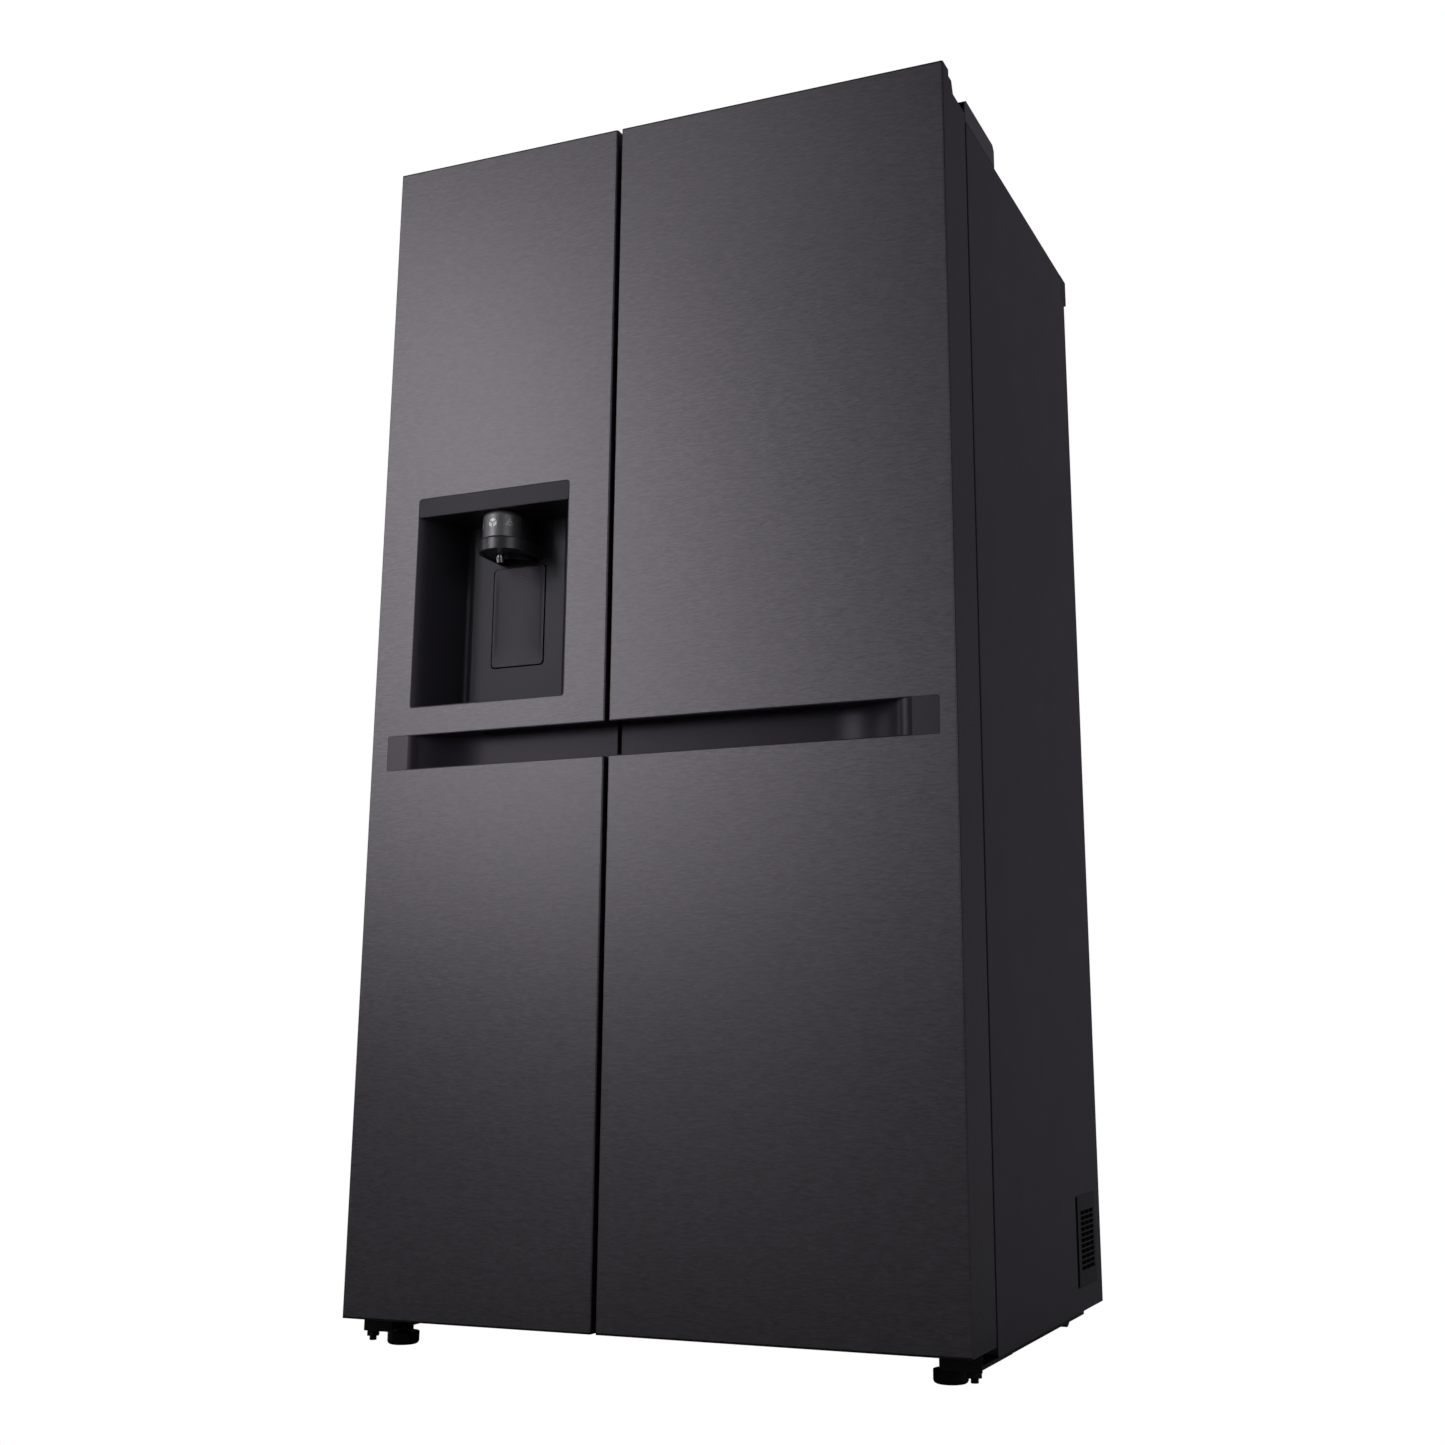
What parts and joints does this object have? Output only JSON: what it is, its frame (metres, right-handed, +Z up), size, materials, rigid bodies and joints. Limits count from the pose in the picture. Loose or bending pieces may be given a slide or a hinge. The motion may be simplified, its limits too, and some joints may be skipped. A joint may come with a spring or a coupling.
{
  "type": "side-by-side refrigerator freezer",
  "caption": "Tall side-by-side refrigerator and freezer with hinged doors, recessed handle grooves, a water and ice dispenser, shelves, drawers and a machine compartment.",
  "frame": {"origin": "centre of the footprint, on the floor", "axes": "+Z up along the height, doors face -Y, +X to the right seen from the front"},
  "size_m": [0.913, 0.735, 1.79],
  "materials": {
    "door_metal": "satin",
    "cabinet_metal": "satin",
    "back_sheet": "satin",
    "black_steel": "satin",
    "zinc_steel": "satin",
    "compressor_black": "gloss",
    "coil_metal": "satin",
    "aluminium_fins": "satin",
    "chrome_metal": "polished",
    "foam": "matte",
    "white_liner": "satin",
    "white_plastic": "satin",
    "lamp_lens": "satin",
    "seal_rubber": "matte",
    "black_plastic": "satin",
    "dark_plastic": "satin",
    "hinge_plastic": "satin",
    "handle_plastic": "satin",
    "dispenser_plastic": "satin",
    "bezel_plastic": "satin",
    "paddle_plastic": "satin",
    "dial_plastic": "satin",
    "roller_plastic": "matte",
    "clear_plastic": "polished",
    "shelf_glass": "polished"
  },
  "bodies": {
    "cabinet": {"side_panel_left": "cabinet_metal", "side_panel_right": "cabinet_metal", "top_panel": "cabinet_metal", "back_panel": "back_sheet", "base_frame": "black_steel", "cabinet_insulation": "foam", "front_flange": "cabinet_metal", "freezer_liner": "white_liner", "fridge_liner": "white_liner", "side_vents": "black_plastic", "rear_rail": "dark_plastic", "machine_cover": "back_sheet", "hinge_cover_left": "hinge_plastic", "hinge_cover_right": "hinge_plastic", "upper_hinges": "zinc_steel", "lower_hinges": "black_steel", "compressor": "compressor_black", "condenser": "coil_metal", "drain_tray": "black_plastic", "water_valve": "chrome_metal", "control_box": "white_plastic", "freezer_air_cover": "white_plastic", "evaporator": "aluminium_fins", "freezer_shelves": "shelf_glass", "fridge_shelves": "shelf_glass", "fridge_air_tower": "white_plastic", "lamps": "lamp_lens"},
    "freezer_door": {"freezer_door_skin": "door_metal", "freezer_door_core": "foam", "freezer_door_caps": "black_plastic", "freezer_door_liner": "white_liner", "freezer_door_seal": "seal_rubber", "freezer_handle_insert": "handle_plastic", "freezer_door_bins": "clear_plastic", "dispenser_housing": "dispenser_plastic", "dispenser_bezel": "bezel_plastic", "dispenser_ring": "dispenser_plastic", "water_nozzle": "chrome_metal", "ice_chute": "dispenser_plastic", "ice_maker": "white_plastic", "ice_bin": "clear_plastic"},
    "fridge_door": {"fridge_door_skin": "door_metal", "fridge_door_core": "foam", "fridge_door_caps": "black_plastic", "fridge_door_liner": "white_liner", "fridge_door_seal": "seal_rubber", "fridge_handle_insert": "handle_plastic", "fridge_door_bins": "clear_plastic"},
    "paddle": {"dispenser_paddle": "paddle_plastic"},
    "dial": {"selector_dial": "dial_plastic"},
    "foot_left": {"front_foot_left": "black_plastic"},
    "foot_right": {"front_foot_right": "black_plastic"},
    "roller_left": {"rear_roller_left": "roller_plastic"},
    "roller_right": {"rear_roller_right": "roller_plastic"},
    "condenser_fan": {"condenser_fan": "black_plastic"},
    "evaporator_fan": {"evaporator_fan": "white_plastic"},
    "freezer_drawer_lower": {"freezer_drawer_lower": "clear_plastic"},
    "freezer_drawer_upper": {"freezer_drawer_upper": "clear_plastic"},
    "crisper_lower": {"crisper_lower": "clear_plastic"},
    "crisper_upper": {"crisper_upper": "clear_plastic"}
  },
  "joints": [
    {"name": "freezer_door_hinge", "type": "hinge", "parent": "cabinet", "child": "freezer_door", "pos_m": [-0.442, -0.3105, 0.9], "axis": [0, 0, -1], "range_deg": [0, 115]},
    {"name": "fridge_door_hinge", "type": "hinge", "parent": "cabinet", "child": "fridge_door", "pos_m": [0.442, -0.3105, 0.9], "axis": [0, 0, 1], "range_deg": [0, 115]},
    {"name": "paddle_press", "type": "hinge", "parent": "freezer_door", "child": "paddle", "pos_m": [-0.2613, -0.2765, 1.1255], "axis": [1, 0, 0], "range_deg": [0, 6], "stiffness_Nm_per_rad": 0.8, "springref_deg": -5.73},
    {"name": "dial_turn", "type": "hinge", "parent": "freezer_door", "child": "dial", "pos_m": [-0.2625, -0.336, 1.18], "axis": [0, 0, 1], "range_deg": [-60, 60]},
    {"name": "foot_left_screw", "type": "slide", "parent": "cabinet", "child": "foot_left", "axis": [0, 0, -1], "range_m": [0, 0.01]},
    {"name": "foot_right_screw", "type": "slide", "parent": "cabinet", "child": "foot_right", "axis": [0, 0, -1], "range_m": [0, 0.01]},
    {"name": "roller_left_spin", "type": "hinge", "parent": "cabinet", "child": "roller_left", "pos_m": [-0.407, 0.2725, 0.02], "axis": [1, 0, 0], "continuous": true},
    {"name": "roller_right_spin", "type": "hinge", "parent": "cabinet", "child": "roller_right", "pos_m": [0.407, 0.2725, 0.02], "axis": [1, 0, 0], "continuous": true},
    {"name": "condenser_fan_spin", "type": "hinge", "parent": "cabinet", "child": "condenser_fan", "pos_m": [-0.11, 0.2325, 0.116], "axis": [1, 0, 0], "continuous": true},
    {"name": "evaporator_fan_spin", "type": "hinge", "parent": "cabinet", "child": "evaporator_fan", "pos_m": [-0.24675, 0.2645, 1.03], "axis": [0, 1, 0], "continuous": true},
    {"name": "freezer_drawer_lower_slide", "type": "slide", "parent": "cabinet", "child": "freezer_drawer_lower", "axis": [0, -1, 0], "range_m": [0, 0.06]},
    {"name": "freezer_drawer_upper_slide", "type": "slide", "parent": "cabinet", "child": "freezer_drawer_upper", "axis": [0, -1, 0], "range_m": [0, 0.06]},
    {"name": "crisper_lower_slide", "type": "slide", "parent": "cabinet", "child": "crisper_lower", "axis": [0, -1, 0], "range_m": [0, 0.06]},
    {"name": "crisper_upper_slide", "type": "slide", "parent": "cabinet", "child": "crisper_upper", "axis": [0, -1, 0], "range_m": [0, 0.06]}
  ]
}
